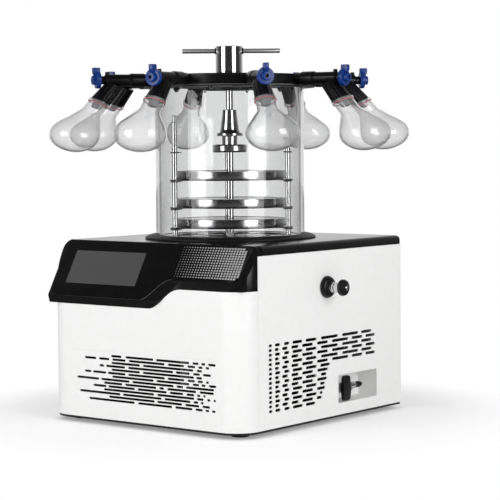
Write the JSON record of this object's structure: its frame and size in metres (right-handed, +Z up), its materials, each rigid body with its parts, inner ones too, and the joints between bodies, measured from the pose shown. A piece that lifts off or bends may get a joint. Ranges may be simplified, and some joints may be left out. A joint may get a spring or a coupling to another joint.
{
  "type": "freeze dryer",
  "caption": "Benchtop freeze dryer: white cabinet with sloped black control fascia, clear stoppering chamber with shelves, steel lid with handle and a ring of tilted flasks on valved ports.",
  "frame": {"origin": "centre of the overall footprint at bench level, under the feet; the chamber's axis stands 2.5 mm towards -X of it", "axes": "+Z up, front of the cabinet towards -Y, +X to the right when facing the front"},
  "size_m": [0.7134, 0.7162, 0.722],
  "materials": {
    "white_paint": "satin white powder coat",
    "black_panel": "gloss black",
    "black_plastic": "black moulded plastic",
    "screen": "blank grey touch panel",
    "rubber": "matt black rubber",
    "steel": "fine brushed stainless",
    "black_lid": "satin black anodised metal",
    "polished_steel": "polished stainless",
    "acrylic": "clear acrylic",
    "flask_glass": "clear borosilicate glass",
    "blue_plastic": "royal blue moulded plastic",
    "seal": "pale silicone seal",
    "adapter_rubber": "black moulded rubber",
    "fins": "bare aluminium fins",
    "grey_metal": "grey plated metal"
  },
  "bodies": {
    "cabinet": {"base_tray": "black_plastic", "foot_1": "rubber", "foot_2": "rubber", "foot_3": "rubber", "foot_4": "rubber", "front_panel": "white_paint", "side_panel_right": "white_paint", "side_panel_left": "white_paint", "rear_panel": "white_paint", "top_cap": "black_panel", "fascia": "black_panel", "touch_screen": "screen", "cold_trap": "steel", "base_ring": "rubber", "chamber_tube": "acrylic", "rack_frame": "steel", "shelf_1": "steel", "shelf_2": "steel", "shelf_3": "steel", "lid_disc": "black_lid", "lid_seal": "seal", "valve_body_1": "adapter_rubber", "flask_1": "flask_glass", "valve_body_2": "adapter_rubber", "flask_2": "flask_glass", "valve_body_3": "adapter_rubber", "flask_3": "flask_glass", "valve_body_4": "adapter_rubber", "flask_4": "flask_glass", "valve_body_5": "adapter_rubber", "flask_5": "flask_glass", "valve_body_6": "adapter_rubber", "flask_6": "flask_glass", "valve_body_7": "adapter_rubber", "flask_7": "flask_glass", "valve_body_8": "adapter_rubber", "flask_8": "flask_glass", "relief_valve": "black_plastic", "recess_box": "white_paint", "drain_valve": "grey_metal", "compressor": "black_plastic", "condenser": "fins", "power_inlet": "black_plastic"},
    "handle": {"handle_hub": "polished_steel", "handle_bar": "polished_steel"},
    "press": {"press_rod": "polished_steel", "press_boss": "polished_steel"},
    "relief": {"relief_knob": "black_plastic"},
    "drain": {"drain_lever": "black_plastic"},
    "fan": {"condenser_fan": "black_plastic"},
    "rocker": {"rocker_switch": "black_plastic"},
    "knob_1": {"valve_knob_1": "blue_plastic"},
    "knob_2": {"valve_knob_2": "blue_plastic"},
    "knob_3": {"valve_knob_3": "blue_plastic"},
    "knob_4": {"valve_knob_4": "blue_plastic"},
    "knob_5": {"valve_knob_5": "blue_plastic"},
    "knob_6": {"valve_knob_6": "blue_plastic"},
    "knob_7": {"valve_knob_7": "blue_plastic"},
    "knob_8": {"valve_knob_8": "blue_plastic"}
  },
  "joints": [
    {"name": "handle_turn", "type": "hinge", "parent": "cabinet", "child": "handle", "pos_m": [-0.00275, 0, 0.693], "axis": [0, 0, 1], "range_deg": [0, 1080]},
    {"name": "press_slide", "type": "slide", "parent": "cabinet", "child": "press", "axis": [0, 0, 1], "range_m": [-0.03, 0]},
    {"name": "knob_turn_1", "type": "hinge", "parent": "cabinet", "child": "knob_1", "pos_m": [-0.14863, -0.22123, 0.655], "axis": [-0.5505, -0.8348, 0], "range_deg": [0, 90]},
    {"name": "knob_turn_2", "type": "hinge", "parent": "cabinet", "child": "knob_2", "pos_m": [0.03001, -0.26297, 0.655], "axis": [0.1236, -0.9923, 0], "range_deg": [0, 90]},
    {"name": "knob_turn_3", "type": "hinge", "parent": "cabinet", "child": "knob_3", "pos_m": [0.20917, -0.15911, 0.655], "axis": [0.7997, -0.6004, 0], "range_deg": [0, 90]},
    {"name": "knob_turn_4", "type": "hinge", "parent": "cabinet", "child": "knob_4", "pos_m": [0.26186, 0.01433, 0.655], "axis": [0.9985, 0.0541, 0], "range_deg": [0, 90]},
    {"name": "knob_turn_5", "type": "hinge", "parent": "cabinet", "child": "knob_5", "pos_m": [0.181, 0.19095, 0.655], "axis": [0.6934, 0.7206, 0], "range_deg": [0, 90]},
    {"name": "knob_turn_6", "type": "hinge", "parent": "cabinet", "child": "knob_6", "pos_m": [-0.0355, 0.26297, 0.655], "axis": [-0.1236, 0.9923, 0], "range_deg": [0, 90]},
    {"name": "knob_turn_7", "type": "hinge", "parent": "cabinet", "child": "knob_7", "pos_m": [-0.2227, 0.1478, 0.655], "axis": [-0.83, 0.5577, 0], "range_deg": [0, 90]},
    {"name": "knob_turn_8", "type": "hinge", "parent": "cabinet", "child": "knob_8", "pos_m": [-0.26186, -0.05555, 0.655], "axis": [-0.9778, -0.2096, 0], "range_deg": [0, 90]},
    {"name": "relief_turn", "type": "hinge", "parent": "cabinet", "child": "relief", "pos_m": [0.27725, -0.0115, 0.2607], "axis": [1, 0, 0], "range_deg": [0, 180]},
    {"name": "drain_turn", "type": "hinge", "parent": "cabinet", "child": "drain", "pos_m": [0.22825, 0.063, 0.0595], "axis": [1, 0, 0], "range_deg": [-90, 0]},
    {"name": "fan_spin", "type": "hinge", "parent": "cabinet", "child": "fan", "pos_m": [0.01725, 0.15, 0.12], "axis": [0, 1, 0], "continuous": true},
    {"name": "rocker_tilt", "type": "hinge", "parent": "cabinet", "child": "rocker", "pos_m": [-0.18275, 0.2395, 0.096], "axis": [1, 0, 0], "range_deg": [-8, 8]}
  ],
  "couplings": [
    {"joint": "handle_turn", "follows": "press_slide", "rad_per_m": -628.3}
  ]
}
